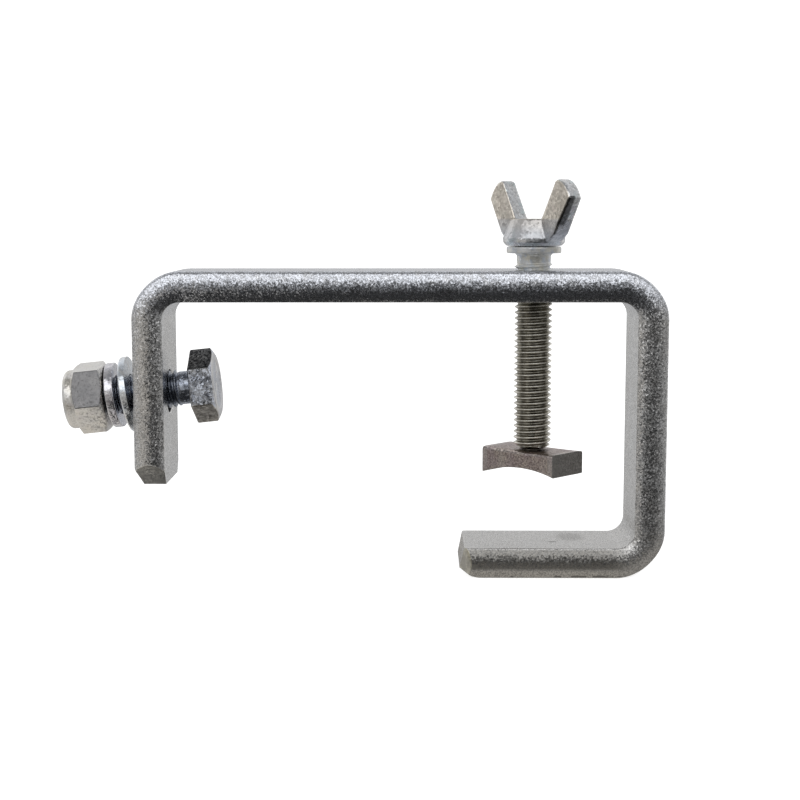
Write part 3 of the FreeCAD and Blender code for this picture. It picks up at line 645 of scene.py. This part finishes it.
class Finish:
    """A material's nodes, built up call by call. Lengths in its patterns are in mm."""

    def __init__(self, name):
        self.material = bpy.data.materials.new(name)
        self.material.use_nodes = True
        self.tree = self.material.node_tree
        self.tree.nodes.clear()
        coordinates = self.node("ShaderNodeTexCoord")
        scale = self.node("ShaderNodeVectorMath", operation="SCALE")
        scale.inputs["Scale"].default_value = 1 / MM
        self.link(coordinates.outputs["Object"], scale.inputs[0])
        self.place = scale.outputs[0]

    def node(self, kind, **settings):
        node = self.tree.nodes.new(kind)
        for key, value in settings.items():
            setattr(node, key, value)
        return node

    def link(self, output, socket):
        self.tree.links.new(output, socket)

    def feed(self, socket, value):
        """Puts a number, a colour or another node's output into a socket."""
        if isinstance(value, bpy.types.NodeSocket):
            self.link(value, socket)
        elif isinstance(value, (tuple, list)) and len(value) == 3 and socket.type == "RGBA":
            socket.default_value = (*value, 1)
        else:
            socket.default_value = value

    def stretched(self, scales):
        """The place, scaled differently along each axis."""
        node = self.node("ShaderNodeVectorMath", operation="MULTIPLY")
        self.link(self.place, node.inputs[0])
        node.inputs[1].default_value = scales
        return node.outputs[0]

    def noise(self, size, detail=2.0, roughness=0.55, place=None, colour=False):
        """Noise whose features are about size mm across."""
        node = self.node("ShaderNodeTexNoise")
        self.link(place or self.place, node.inputs["Vector"])
        node.inputs["Scale"].default_value = 1 / size
        node.inputs["Detail"].default_value = detail
        node.inputs["Roughness"].default_value = roughness
        return node.outputs["Color" if colour else "Fac"]

    def cells(self, size, place=None, output="Distance", feature="F1"):
        node = self.node("ShaderNodeTexVoronoi", feature=feature)
        self.link(place or self.place, node.inputs["Vector"])
        node.inputs["Scale"].default_value = 1 / size
        return node.outputs[output]

    def calc(self, operation, first, second=0.0, third=None):
        node = self.node("ShaderNodeMath", operation=operation)
        self.feed(node.inputs[0], first)
        self.feed(node.inputs[1], second)
        if third is not None:
            self.feed(node.inputs[2], third)
        return node.outputs[0]

    def both(self, first, second):
        """The part where two masks overlap."""
        return self.calc("MULTIPLY", first, second)

    def ranged(self, value, start, end, low=0.0, high=1.0, smooth_step=True):
        node = self.node("ShaderNodeMapRange")
        node.interpolation_type = "SMOOTHSTEP" if smooth_step else "LINEAR"
        self.feed(node.inputs["Value"], value)
        self.feed(node.inputs["From Min"], start)
        self.feed(node.inputs["From Max"], end)
        self.feed(node.inputs["To Min"], low)
        self.feed(node.inputs["To Max"], high)
        return node.outputs["Result"]

    def mixed(self, factor, first, second, blend="MIX"):
        node = self.node("ShaderNodeMix", data_type="RGBA", blend_type=blend)
        self.feed(node.inputs["Factor"], factor)
        self.feed(node.inputs[6], first)
        self.feed(node.inputs[7], second)
        return node.outputs[2]

    def tinted(self, colour, mask, share, tint):
        """The colour, with a share of the tint where the mask is 1."""
        return self.mixed(self.calc("MULTIPLY", mask, share), colour, tint)

    def axis(self, name):
        """One coordinate of the place, in mm."""
        node = self.node("ShaderNodeSeparateXYZ")
        self.link(self.place, node.inputs[0])
        return node.outputs[name]

    def beyond(self, direction, reach):
        """1 where the place lies further than reach mm in a direction, 0 elsewhere."""
        node = self.node("ShaderNodeVectorMath", operation="DOT_PRODUCT")
        self.link(self.place, node.inputs[0])
        node.inputs[1].default_value = direction
        return self.calc("GREATER_THAN", node.outputs["Value"], reach)

    def spot(self, centre, radii):
        """1 inside a soft-edged egg shape, 0 outside it."""
        offset = self.node("ShaderNodeVectorMath", operation="SUBTRACT")
        self.link(self.place, offset.inputs[0])
        offset.inputs[1].default_value = centre
        share = self.node("ShaderNodeVectorMath", operation="DIVIDE")
        self.link(offset.outputs[0], share.inputs[0])
        share.inputs[1].default_value = radii
        reach = self.node("ShaderNodeVectorMath", operation="LENGTH")
        self.link(share.outputs[0], reach.inputs[0])
        return self.ranged(reach.outputs["Value"], 0.4, 1.0, 1, 0)

    def facets(self, size, tilt):
        """Normals of a crystalline skin, where every cell about size mm across leans its
        own way."""
        normal = self.cells(size, output="Color")
        steps = (("SUBTRACT", (0.5, 0.5, 0.5)), ("MULTIPLY", (2 * tilt,) * 3),
                 ("ADD", self.node("ShaderNodeNewGeometry").outputs["Normal"]),
                 ("NORMALIZE", None))
        for operation, value in steps:
            node = self.node("ShaderNodeVectorMath", operation=operation)
            self.link(normal, node.inputs[0])
            if value is not None:
                self.feed(node.inputs[1], value)
            normal = node.outputs[0]
        return normal

    def bump(self, height, depth, normal=None, strength=1.0):
        """Surface relief: depth in mm of a height that runs from 0 to 1."""
        node = self.node("ShaderNodeBump")
        self.feed(node.inputs["Height"], height)
        node.inputs["Distance"].default_value = depth * MM
        node.inputs["Strength"].default_value = strength
        if normal is not None:
            self.link(normal, node.inputs["Normal"])
        return node.outputs["Normal"]

    def edges(self, low=0.51, high=0.56):
        """1 on convex edges, 0 elsewhere."""
        node = self.node("ShaderNodeNewGeometry")
        return self.ranged(node.outputs["Pointiness"], low, high)

    def shade(self, colour, roughness, normal=None, metallic=1.0, **others):
        shader = self.node("ShaderNodeBsdfPrincipled")
        self.feed(shader.inputs["Base Color"], colour)
        self.feed(shader.inputs["Roughness"], roughness)
        self.feed(shader.inputs["Metallic"], metallic)
        if normal is not None:
            self.link(normal, shader.inputs["Normal"])
        for key, value in others.items():
            self.feed(shader.inputs[key.replace("_", " ").title()], value)
        output = self.node("ShaderNodeOutputMaterial")
        self.link(shader.outputs[0], output.inputs["Surface"])
        return self.material


DARK_MARKS = (
    # centre, radii, strength
    ((10.5, 3.0, 0.0), (5.0, 6.5, 1.0), 0.35),      # smudge on the jaw
    ((5.4, -3.0, 0.0), (1.6, 0.8, 1.0), 0.8),       # dash beside it
    ((-66.0, 10.5, 72.0), (0.9, 2.6, 1.0), 0.9),    # nick on the beam
    ((-92.5, -9.5, 70.5), (1.6, 0.5, 2.0), 0.7))    # scratch at the bend


def bar_finish():
    """Zinc plate over rolled steel: fine sparkling grain, stains and a few marks. The beam is
    bluish, the jaw's bulged sides carry painted shade over a painted highlight along their lower
    edge, convex edges carry painted highlights, and the sawn ends dull."""
    f = Finish("grainy_zinc_plate")
    along, across, height = f.axis("X"), f.calc("ABSOLUTE", f.axis("Y")), f.axis("Z")
    jaw = f.ranged(height, 0.0, 12.0, 1, 0)
    beam = f.ranged(height, 58.0, 68.0)
    grain = f.noise(0.7, 2.5, 0.62)
    fine = f.noise(0.34, 1.5, 0.55)
    cloud = f.noise(9.0, 3.0, 0.55)
    stain = f.noise(2.4, 3.0, 0.6)
    specks = f.cells(0.6)
    pits = f.ranged(f.calc("ADD", specks, f.calc("MULTIPLY", grain, 0.25)), 0.15, 0.28, 1, 0)
    colour = f.mixed(f.ranged(cloud, 0.35, 0.65), (0.84, 0.83, 0.82), (0.90, 0.90, 0.90))
    colour = f.mixed(beam, colour, (0.80, 0.83, 0.90))
    colour = f.mixed(jaw, colour, (0.76, 0.75, 0.74))
    colour = f.mixed(f.ranged(stain, 0.45, 0.75, 0, 0.25), colour, (0.55, 0.52, 0.46))

    # the jaw's bulged sides, short of the bend
    side = f.both(f.ranged(across, 11.2, 11.6), f.ranged(along, 19.0, 28.0, 1, 0))
    # painted shade: the jaw's bulged sides darkened between their top and their lower edge
    painted_shade_band = f.both(side, f.both(f.ranged(height, -5.9, -4.9),
                               f.ranged(height, -0.5, -0.1, 1, 0)))
    colour = f.tinted(colour, painted_shade_band, 0.84, (0.24, 0.23, 0.21))
    # painted highlight along the lower edge of the jaw's bulged sides
    rim = f.both(side, f.ranged(height, -6.2, -5.4, 1, 0))
    colour = f.tinted(colour, rim, 0.7, (0.95, 0.92, 0.86))
    burrs = f.noise(2.6, 1.0, 0.5, place=f.stretched((1, 0.2, 0.2)))
    burrs = f.both(f.ranged(burrs, 0.52, 0.58), f.ranged(height, -7.3, -6.9, 1, 0))
    colour = f.tinted(colour, f.both(burrs, side), 0.75, (0.12, 0.11, 0.10))

    # the sawn corners of the fixing leg and of the jaw
    slant = f.calc("SUBTRACT", f.calc("MULTIPLY", across, 1.59), height)
    leg_saw = f.both(f.calc("GREATER_THAN", slant, -2.2), f.calc("LESS_THAN", along, -90.0))
    jaw_saw = f.both(f.calc("GREATER_THAN", f.calc("SUBTRACT", across, along), 28.8),
                     f.calc("LESS_THAN", height, 0.5))
    jaw_saw = f.both(jaw_saw, f.calc("GREATER_THAN", along, -25.0))
    colour = f.tinted(colour, leg_saw, 0.85, (0.88, 0.86, 0.80))
    yellowed = f.mixed(f.ranged(stain, 0.4, 0.6), (0.50, 0.47, 0.36), (0.95, 0.90, 0.72))
    colour = f.tinted(colour, jaw_saw, 0.7, yellowed)
    sawn = f.calc("MAXIMUM", leg_saw, jaw_saw)

    speckle = f.both(f.ranged(fine, 0.40, 0.58, 0.60, 0.0),
                     f.calc("SUBTRACT", 1.0, f.calc("MULTIPLY", sawn, 0.7)))
    colour = f.mixed(speckle, colour, (0.22, 0.22, 0.22))
    colour = f.tinted(colour, pits, 0.5, (0.10, 0.10, 0.09))
    # painted highlights on convex edges
    colour = f.tinted(colour, f.edges(), 0.35, (0.95, 0.95, 0.94))
    for centre, radii, share in DARK_MARKS:
        colour = f.tinted(colour, f.spot(centre, radii), share, (0.13, 0.12, 0.11))
    roughness = f.calc("ADD", f.ranged(grain, 0.3, 0.7, 0.29, 0.19),
                       f.calc("ADD", f.calc("MULTIPLY", jaw, 0.05),
                              f.calc("MULTIPLY", sawn, 0.25)))
    relief = f.bump(grain, 0.06, f.facets(0.36, 0.135))
    relief = f.bump(f.calc("SUBTRACT", 1.0, pits), 0.03, relief)
    relief = f.bump(cloud, 0.12, relief)
    return f.shade(colour, roughness, relief)


def plated_finish(name, first, second, size, roughness, grain_depth=0.02, grain_size=0.35,
                  tint=None, tint_share=0.3, spots=0.15, edge=0.4, tilt=0.06):
    """Plated steel: two close colours in clouds, a fine grain, a faint passivate tint, and
    painted highlights on convex edges, edge setting their share.
    """
    f = Finish(name)
    cloud = f.noise(size, 3.0, 0.6)
    grain = f.noise(grain_size, 2.0, 0.6)
    patch = f.noise(size * 0.45, 2.0, 0.5)
    colour = f.mixed(f.ranged(cloud, 0.35, 0.65), first, second)
    if tint is not None:
        colour = f.mixed(f.ranged(patch, 0.5, 0.68, 0, tint_share), colour, tint)
    colour = f.mixed(f.ranged(grain, 0.35, 0.55, spots, 0.0), colour, (0.2, 0.2, 0.2))
    # painted highlights on convex edges
    colour = f.tinted(colour, f.edges(), edge, (0.95, 0.94, 0.92))
    worn = f.ranged(cloud, 0.3, 0.7, roughness[0], roughness[1])
    relief = f.bump(grain, grain_depth, f.facets(grain_size * 1.3, tilt))
    relief = f.bump(patch, 0.05, relief)
    return f, colour, worn, relief


def forging_finish():
    """Satin zinc with beige broad faces, and painted shade as a dark reflection down one wing's
    edge.
    """
    f, colour, worn, relief = plated_finish(
        "satin_zinc_forging", (0.73, 0.73, 0.73), (0.80, 0.82, 0.85), 5.0, (0.20, 0.34),
        grain_depth=0.03, grain_size=0.45, tint=(0.62, 0.74, 0.76), tint_share=0.5, spots=0.3,
        tilt=0.12)
    pink = f.noise(2.2, 2.0, 0.5, place=f.stretched((1, 1.3, 0.8)))
    colour = f.mixed(f.ranged(pink, 0.55, 0.72, 0, 0.3), colour, (0.88, 0.70, 0.76))
    across, height = f.axis("Y"), f.axis("Z")
    broad = f.ranged(f.calc("ABSOLUTE", across), 1.75, 2.05, 0, 0.75)
    broad = f.both(broad, f.ranged(height, 2.5, 6.0))
    colour = f.mixed(broad, colour, (0.74, 0.66, 0.55))
    hub = f.both(f.ranged(height, 1.2, 2.2), f.ranged(height, 6.4, 7.2, 1, 0))
    colour = f.tinted(colour, hub, 0.6, (0.50, 0.51, 0.54))
    # painted shade: a near-black dark reflection down one wing's outer edge
    painted_dark_reflection = f.both(f.beyond((0.854, 0.0, -0.52), 7.45),
                    f.both(f.ranged(across, -0.5, 0.3, 1, 0), f.ranged(height, 4.2, 6.0)))
    colour = f.tinted(colour, painted_dark_reflection, 0.85, (0.06, 0.06, 0.06))
    return f.shade(colour, worn, relief)


def screw_finish():
    """Bright zinc neck and collar over a dull olive thread, with painted shade darkening its
    roots and painted highlights on its crests.
    """
    f, bright, worn, relief = plated_finish(
        "dull_thread_bright_neck", (0.80, 0.78, 0.70), (0.86, 0.88, 0.90), 3.0, (0.16, 0.28),
        tint=(0.60, 0.68, 0.80), tint_share=0.6, spots=0.2, tilt=0.04)
    height = f.axis("Z")
    mottle = f.noise(1.0, 3.0, 0.6)
    dull = f.mixed(f.ranged(mottle, 0.38, 0.62), (0.32, 0.30, 0.25), (0.62, 0.60, 0.53))
    # painted highlights on the thread's crests
    dull = f.tinted(dull, f.edges(0.5, 0.57), 0.9, (1.0, 0.97, 0.90))
    across, aside = f.axis("X"), f.axis("Y")
    radius = f.calc("SQRT", f.calc("ADD", f.calc("MULTIPLY", across, across),
                                   f.calc("MULTIPLY", aside, aside)))
    # painted shade: darker towards the thread's roots
    dull = f.mixed(f.ranged(radius, 4.1, 4.7, 0.5, 0), dull, (0.09, 0.08, 0.06))
    on_thread = f.ranged(height, 46.2, 47.2, 1, 0)
    colour = f.mixed(on_thread, bright, dull)
    return f.shade(colour, worn, relief, metallic=f.ranged(on_thread, 0, 1, 0.45, 1))


def bolt_finish():
    """Blued zinc, speckled on the head; one flank painted nearly black as shade, the one
    below browned, and the end face satin. The thread is darker than the neck."""
    f, colour, worn, relief = plated_finish(
        "blue_zinc_bolt", (0.40, 0.44, 0.53), (0.65, 0.70, 0.80), 2.4, (0.18, 0.32),
        grain_depth=0.05, grain_size=0.36, spots=0.6, edge=0.7, tilt=0.16)
    height = f.axis("Z")
    on_head = f.calc("GREATER_THAN", height, -0.05)
    # painted shade: one flank of the head painted nearly black
    painted_dark_flank = f.both(f.beyond((-0.866, -0.5, 0.0), 8.3), on_head)
    lower = f.both(f.beyond((0.866, -0.5, 0.0), 8.3), on_head)
    face = f.ranged(height, 6.0, 6.25)
    on_thread = f.ranged(height, -4.2, -3.4, 1, 0)
    mottle = f.noise(1.4, 3.0, 0.6)
    colour = f.tinted(colour, on_thread, 0.75, (0.20, 0.22, 0.26))
    colour = f.tinted(colour, painted_dark_flank, 0.95, (0.04, 0.04, 0.04))
    brown = f.mixed(f.ranged(mottle, 0.35, 0.65), (0.36, 0.30, 0.22), (0.62, 0.56, 0.46))
    colour = f.tinted(colour, lower, 0.7, brown)
    colour = f.tinted(colour, face, 0.8, (0.72, 0.71, 0.70))
    rough = f.calc("ADD", worn, f.calc("MULTIPLY", f.calc("ADD", face, lower), 0.15))
    return f.shade(colour, rough, relief)


def nut_finish():
    f, colour, worn, relief = plated_finish(
        "satin_zinc_nut", (0.80, 0.77, 0.70), (0.88, 0.87, 0.85), 4.0, (0.26, 0.40),
        grain_depth=0.03, grain_size=0.36, tint=(0.80, 0.74, 0.77), tint_share=0.3, spots=0.25,
        edge=0.9, tilt=0.12)
    # painted shade: the flat facing -Y painted nearly black
    painted_dark_flat = f.beyond((0.0, -1.0, 0.0), 8.4)
    colour = f.tinted(colour, painted_dark_flat, 0.88, (0.15, 0.15, 0.16))
    return f.shade(colour, worn, relief)


def spring_finish():
    f, colour, worn, relief = plated_finish(
        "bright_zinc_spring", (0.66, 0.66, 0.72), (0.88, 0.87, 0.90), 2.0, (0.14, 0.26),
        grain_depth=0.05, grain_size=0.8, tint=(0.40, 0.34, 0.42), tint_share=0.4, spots=0.15,
        tilt=0.07)
    return f.shade(colour, worn, relief)


def washer_finish():
    f, colour, worn, relief = plated_finish(
        "bright_zinc_washer", (0.74, 0.80, 0.88), (0.86, 0.89, 0.92), 3.0, (0.16, 0.30),
        grain_depth=0.02, tint=(0.84, 0.77, 0.70), tint_share=0.35)
    return f.shade(colour, worn, relief)


def saddle_finish():
    """Bare steel, browned and a little oily, with painted highlights on its edges and darker
    sawn ends.
    """
    f = Finish("bare_brown_steel")
    grain = f.noise(0.45, 2.5, 0.6)
    cloud = f.noise(3.5, 3.0, 0.6)
    colour = f.mixed(f.ranged(cloud, 0.35, 0.68), (0.44, 0.35, 0.34), (0.54, 0.46, 0.40))
    ends = f.ranged(f.calc("ABSOLUTE", f.axis("X")), 11.8, 11.95)
    colour = f.tinted(colour, ends, 0.92, (0.10, 0.11, 0.10))
    colour = f.mixed(f.ranged(grain, 0.42, 0.56, 0.7, 0), colour, (0.10, 0.07, 0.07))
    # painted highlights on convex edges
    colour = f.tinted(colour, f.edges(0.505, 0.54), 0.3, (0.80, 0.78, 0.76))
    roughness = f.ranged(grain, 0.3, 0.7, 0.40, 0.26)
    relief = f.bump(grain, 0.05, f.facets(0.45, 0.2))
    relief = f.bump(cloud, 0.08, relief)
    return f.shade(colour, roughness, relief)


def nylon_finish():
    """Natural nylon ring with faint moulding lines."""
    f = Finish("natural_nylon")
    cloud = f.noise(2.0, 2.0, 0.5)
    lines = f.noise(0.25, 1.0, 0.5, place=f.stretched((1, 1, 6)))
    colour = f.mixed(f.ranged(cloud, 0.35, 0.65), (0.80, 0.78, 0.70), (0.87, 0.86, 0.80))
    relief = f.bump(lines, 0.01)
    return f.shade(colour, f.ranged(cloud, 0.3, 0.7, 0.42, 0.55), relief, metallic=0.0,
                   subsurface_weight=0.15)


# ---------------------------------------------------------------- pieces on their bodies

def dress(piece, finish):
    piece.data.materials.clear()
    piece.data.materials.append(finish)


def add_piece(piece, body, slot, finish, *nodes):
    smooth(piece)
    dress(piece, finish)
    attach(piece, body)
    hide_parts(*nodes)


washer_look = washer_finish()
add_piece(make_bar(), "frame", "zinc_bar", bar_finish(), "hook_frame")
add_piece(make_spindle(), "clamp_screw", "zinc_screw", screw_finish(), "clamp_spindle")
add_piece(make_wing_nut(), "clamp_screw", "zinc_forging", forging_finish(), "wing_nut")
add_piece(make_saddle(), "saddle", "bare_steel", saddle_finish(), "saddle")
add_piece(make_bolt(), "bolt", "blue_zinc", bolt_finish(), "hex_bolt")
add_piece(make_nut(), "lock_nut", "zinc_nut", nut_finish(), "lock_nut")
add_piece(make_flat_washer(), "flat_washer", "zinc_washer", washer_look, "flat_washer")
add_piece(make_spring_washer(), "spring_washer", "spring_steel", spring_finish(),
          "spring_washer")
dress(frame["nodes"]["saddle_keeper"], washer_look)
dress(frame["nodes"]["lock_nut_insert"], nylon_finish())


# ---------------------------------------------------------------- studio

def make_stage():
    """Round pale floor that curves up into a wall all the way round."""
    floor_height = bar_low.z
    outline = [(0.001, 0.0), (0.3, 0.0), (0.8, 0.0)]
    outline += [(0.8 + across, up) for across, up in arc((0, 0.5), 0.5, -90, 0, 12)]
    outline += [(1.3, 1.6)]
    rings = [[(x / MM, y / MM, (z + floor_height) / MM) for x, y, z in ring]
             for ring in turn(outline, 96)]
    points, faces = skin(rings, capped=False)
    floor = build("studio_floor", [(points, faces + [tuple(range(96))])])
    floor.data.shade_smooth()
    material = bpy.data.materials.new("pale_floor")
    material.use_nodes = True
    nodes = material.node_tree.nodes
    shader = nodes["Principled BSDF"]
    shader.inputs["Base Color"].default_value = (0.9, 0.9, 0.9, 1)
    shader.inputs["Roughness"].default_value = 0.9
    shader.inputs["Emission Color"].default_value = (1, 1, 1, 1)
    shader.inputs["Emission Strength"].default_value = 0.75
    floor.data.materials.append(material)
    floor.visible_glossy = False
    floor.visible_diffuse = False


def make_card(name, outline, brightness, low=-9.2, high=-9.0):
    """Upright prism seen only in the polished metal: a card under or beside the object."""
    card = prism(name, outline, "Z", low, high)
    material = bpy.data.materials.new(name)
    material.use_nodes = True
    shader = material.node_tree.nodes["Principled BSDF"]
    shader.inputs["Base Color"].default_value = (0, 0, 0, 1)
    shader.inputs["Roughness"].default_value = 1.0
    shader.inputs["Emission Color"].default_value = (1.0, 0.96, 0.9, 1)
    shader.inputs["Emission Strength"].default_value = brightness
    card.data.materials.append(material)
    card.visible_camera = False
    card.visible_shadow = False


DARK_ROOM = 0.035       # brightness where no lobe reaches


def make_light():
    """Light all round, as a product studio gives it: large soft boxes high in front, pale
    walls behind and at the sides, and a dark room in front."""
    world = bpy.data.worlds.new("studio")
    bpy.context.scene.world = world
    world.use_nodes = True
    tree = world.node_tree
    tree.nodes.clear()

    def node(kind, **settings):
        made = tree.nodes.new(kind)
        for key, value in settings.items():
            setattr(made, key, value)
        return made

    direction = node("ShaderNodeTexCoord").outputs["Generated"]
    total = None
    lobes = [
        # towards (x, y, z), cosines where it fades in and is full, brightness
        ((0.0, -0.77, 0.63), 0.86, 0.99, 0.76),    # soft box, high in front
        ((0.0, -0.8, 0.4), 0.72, 0.97, 0.18),      # its lower spill
        ((0.0, 0.25, 1.0), 0.05, 0.65, 0.26),      # ceiling
        ((0.0, 1.0, 0.05), 0.05, 0.70, 0.46),      # wall behind
        ((-0.54, -0.70, 0.46), 0.90, 0.97, 0.85),  # soft box, high on the left
        ((0.50, -0.72, 0.48), 0.90, 0.97, 0.65),   # soft box, high on the right
        ((-1.0, 0.1, 0.05), 0.30, 0.90, 0.32),     # left wall
        ((-0.75, -0.65, -0.05), 0.80, 0.97, 0.14),  # reflector, left of the camera
        ((1.0, 0.15, 0.05), 0.35, 0.90, 0.28),     # right wall
        ((0.75, -0.65, -0.05), 0.85, 0.97, 0.06),  # reflector, right of the camera
    ]
    for towards, fade, full, brightness in lobes:
        dot = node("ShaderNodeVectorMath", operation="DOT_PRODUCT")
        tree.links.new(direction, dot.inputs[0])
        dot.inputs[1].default_value = Vector(towards).normalized()
        ramp = node("ShaderNodeMapRange", interpolation_type="SMOOTHSTEP")
        tree.links.new(dot.outputs["Value"], ramp.inputs["Value"])
        ramp.inputs["From Min"].default_value = fade
        ramp.inputs["From Max"].default_value = full
        ramp.inputs["To Max"].default_value = brightness
        if total is None:
            total = ramp.outputs["Result"]
            continue
        add = node("ShaderNodeMath", operation="ADD")
        tree.links.new(total, add.inputs[0])
        tree.links.new(ramp.outputs["Result"], add.inputs[1])
        total = add.outputs[0]
    add = node("ShaderNodeMath", operation="ADD")
    tree.links.new(total, add.inputs[0])
    add.inputs[1].default_value = DARK_ROOM
    background = node("ShaderNodeBackground")
    background.inputs["Color"].default_value = (1, 1, 1, 1)
    tree.links.new(add.outputs[0], background.inputs["Strength"])
    output = node("ShaderNodeOutputWorld")
    tree.links.new(background.outputs[0], output.inputs["Surface"])


LENS = 67.42            # mm, on a 36 mm sensor
CAMERA_PLACE = (-0.030078, -0.394075, 0.086532)
LOOK_DOWN = 7.086       # degrees
TURN_LEFT = 0.726
ROLL = -0.041


def make_camera():
    data = bpy.data.cameras.new("camera")
    data.sensor_width = 36
    data.lens = LENS
    data.clip_start = 0.01
    data.clip_end = 10
    camera = bpy.data.objects.new("camera", data)
    camera.matrix_world = (Matrix.Translation(CAMERA_PLACE)
                           @ Matrix.Rotation(math.radians(TURN_LEFT), 4, "Z")
                           @ Matrix.Rotation(math.radians(90 - LOOK_DOWN), 4, "X")
                           @ Matrix.Rotation(math.radians(ROLL), 4, "Z"))
    bpy.context.scene.collection.objects.link(camera)
    bpy.context.scene.camera = camera


make_stage()
make_card("jaw_card", [(-60, -32), (60, -32), (60, 60), (-60, 60)], 0.3)
make_card("nut_card", [(-180, -70), (-114, -70), (-114, 40), (-180, 40)], 0.6)
make_card("leg_card", [(-262, -136), (-138, -208), (-139, -209), (-263, -137)], 0.42, -60, 84)
make_light()
make_camera()
bpy.context.scene.view_settings.view_transform = "Standard"
